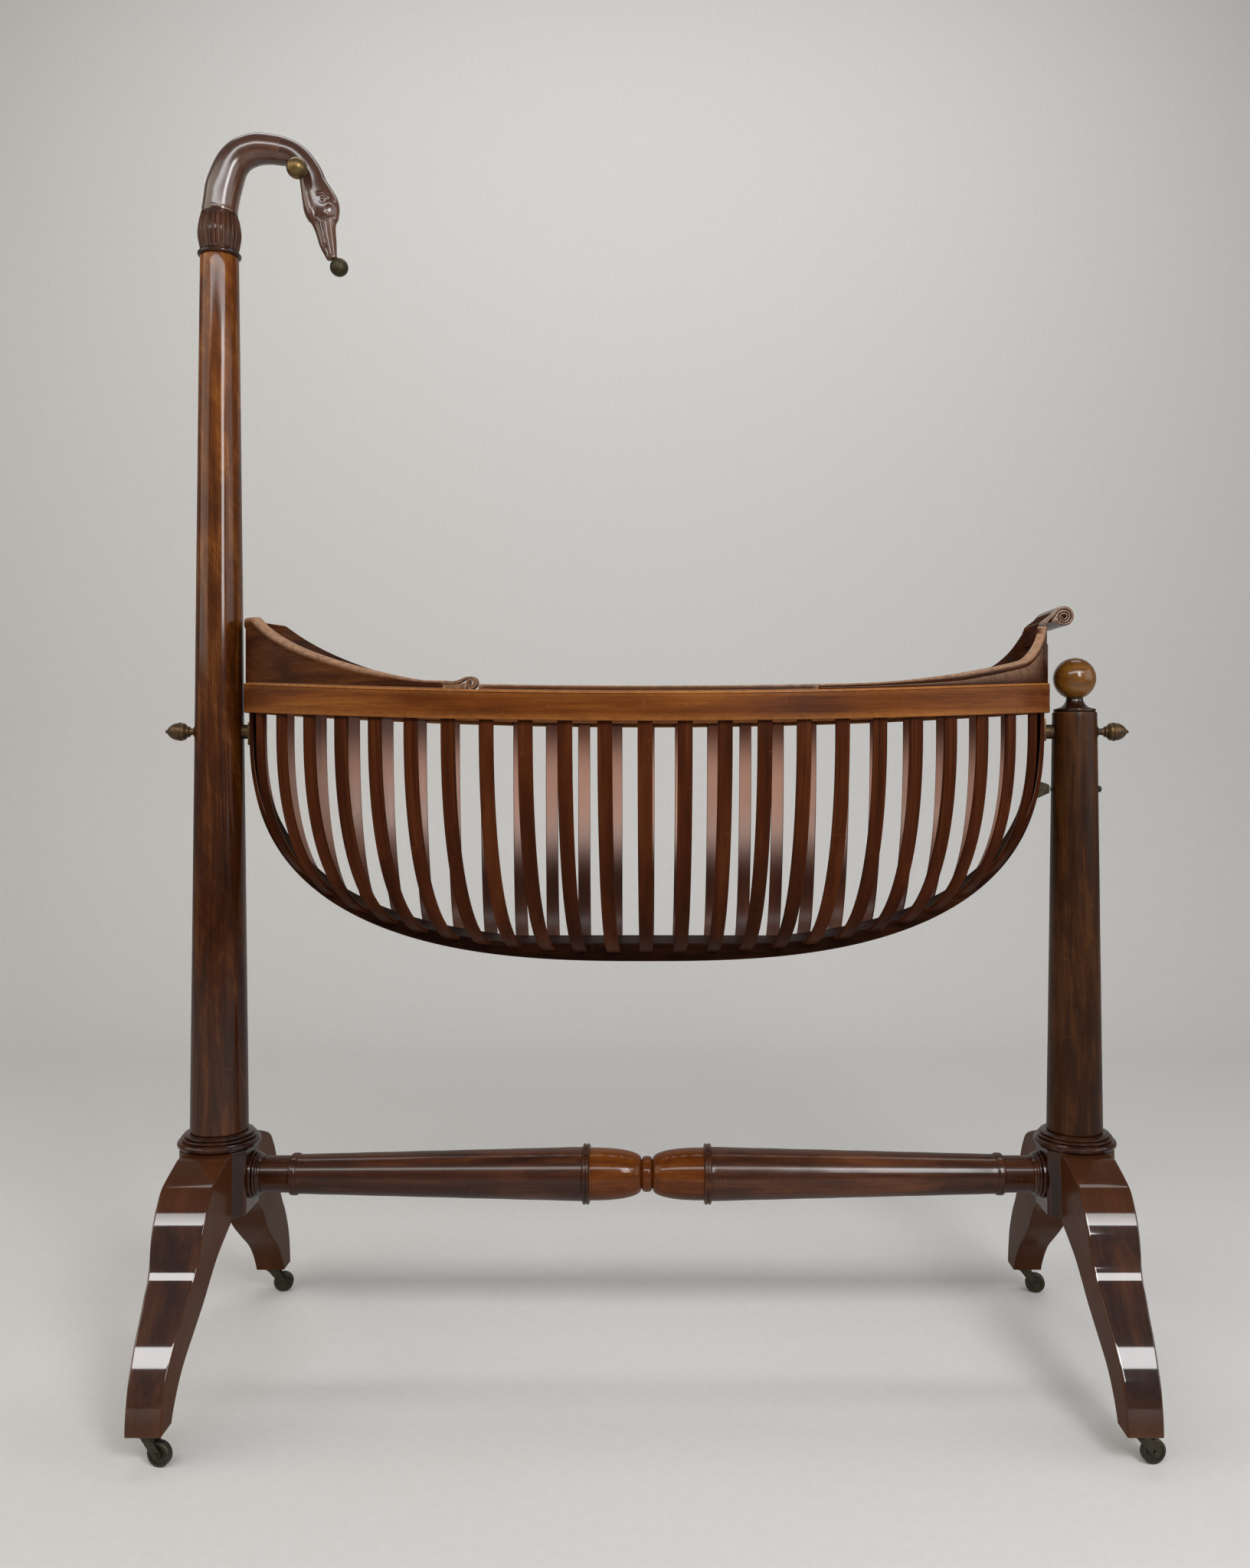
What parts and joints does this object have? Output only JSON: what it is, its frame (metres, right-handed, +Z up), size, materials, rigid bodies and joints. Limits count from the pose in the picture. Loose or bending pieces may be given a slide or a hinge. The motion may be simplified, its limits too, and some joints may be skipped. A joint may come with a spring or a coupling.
{
  "type": "swinging cradle on stand",
  "caption": "Boat-shaped cradle of bent laths that swings between two turned posts on splayed legs with casters, the taller post ending in a swan's neck for a veil",
  "frame": {"origin": "on the floor under the middle of the overall box, midway between the two posts", "axes": "+X from the head post to the foot post along the cradle, +Y from the near side to the far side, +Z up"},
  "size_m": [1.6, 0.64, 2.0463],
  "materials": {
    "dark_wood": "French-polished dark mahogany",
    "warm_wood": "French-polished mahogany, warmer and lighter",
    "lath_wood": "polished bent mahogany lath",
    "brass": "old gilt brass with patina",
    "bronze": "dark patinated bronze"
  },
  "bodies": {
    "stand": {"head_post": "dark_wood", "foot_post": "dark_wood", "head_base_ring": "dark_wood", "foot_base_ring": "dark_wood", "head_hub": "dark_wood", "foot_hub": "dark_wood", "head_front_leg": "dark_wood", "head_back_leg": "dark_wood", "foot_front_leg": "dark_wood", "foot_back_leg": "dark_wood", "stretcher": "dark_wood", "head_flange": "dark_wood", "foot_flange": "dark_wood", "neck_ring": "dark_wood", "swan_collar": "dark_wood", "swan_neck": "dark_wood", "swan_head": "dark_wood", "veil_knob": "brass", "beak_ball": "brass", "post_cap": "dark_wood", "finial_ball": "warm_wood", "head_pivot_bolt": "brass", "foot_pivot_bolt": "brass", "caster_sockets": "bronze"},
    "basket": {"rim_band": "warm_wood", "inner_hoop": "dark_wood", "cap_rail": "warm_wood", "head_board": "warm_wood", "head_scrolls": "warm_wood", "foot_board": "warm_wood", "foot_scroll": "warm_wood", "keel": "dark_wood", "near_head_laths": "lath_wood", "near_middle_laths": "lath_wood", "near_foot_laths": "lath_wood", "far_head_laths": "lath_wood", "far_middle_laths": "lath_wood", "far_foot_laths": "lath_wood", "head_pivot_plate": "brass", "foot_pivot_plate": "brass", "lock_lug": "brass"},
    "lock": {"lock_pin": "brass"},
    "head_front_caster": {"head_front_fork": "bronze", "head_front_axle": "bronze"},
    "head_front_roller": {"head_front_wheel": "bronze"},
    "head_back_caster": {"head_back_fork": "bronze", "head_back_axle": "bronze"},
    "head_back_roller": {"head_back_wheel": "bronze"},
    "foot_front_caster": {"foot_front_fork": "bronze", "foot_front_axle": "bronze"},
    "foot_front_roller": {"foot_front_wheel": "bronze"},
    "foot_back_caster": {"foot_back_fork": "bronze", "foot_back_axle": "bronze"},
    "foot_back_roller": {"foot_back_wheel": "bronze"}
  },
  "joints": [
    {"name": "basket_swing", "type": "hinge", "parent": "stand", "child": "basket", "pos_m": [0, 0, 1.053], "axis": [1, 0, 0], "range_deg": [-20, 20]},
    {"name": "lock_slide", "type": "slide", "parent": "stand", "child": "lock", "axis": [1, 0, 0], "range_m": [0, 0.006]},
    {"name": "head_front_swivel", "type": "hinge", "parent": "stand", "child": "head_front_caster", "pos_m": [-0.71, -0.298, 0.045], "axis": [0, 0, 1], "continuous": true},
    {"name": "head_front_roll", "type": "hinge", "parent": "head_front_caster", "child": "head_front_roller", "pos_m": [-0.69156, -0.3026, 0.018], "axis": [0.2419, 0.9703, 0], "continuous": true},
    {"name": "head_back_swivel", "type": "hinge", "parent": "stand", "child": "head_back_caster", "pos_m": [-0.71, 0.298, 0.045], "axis": [0, 0, 1], "continuous": true},
    {"name": "head_back_roll", "type": "hinge", "parent": "head_back_caster", "child": "head_back_roller", "pos_m": [-0.69119, 0.30064, 0.018], "axis": [-0.1392, 0.9903, 0], "continuous": true},
    {"name": "foot_front_swivel", "type": "hinge", "parent": "stand", "child": "foot_front_caster", "pos_m": [0.71, -0.298, 0.045], "axis": [0, 0, 1], "continuous": true},
    {"name": "foot_front_roll", "type": "hinge", "parent": "foot_front_caster", "child": "foot_front_roller", "pos_m": [0.72871, -0.2947, 0.018], "axis": [-0.1736, 0.9848, 0], "continuous": true},
    {"name": "foot_back_swivel", "type": "hinge", "parent": "stand", "child": "foot_back_caster", "pos_m": [0.71, 0.298, 0.045], "axis": [0, 0, 1], "continuous": true},
    {"name": "foot_back_roll", "type": "hinge", "parent": "foot_back_caster", "child": "foot_back_roller", "pos_m": [0.72859, 0.29405, 0.018], "axis": [0.2079, 0.9781, 0], "continuous": true}
  ]
}
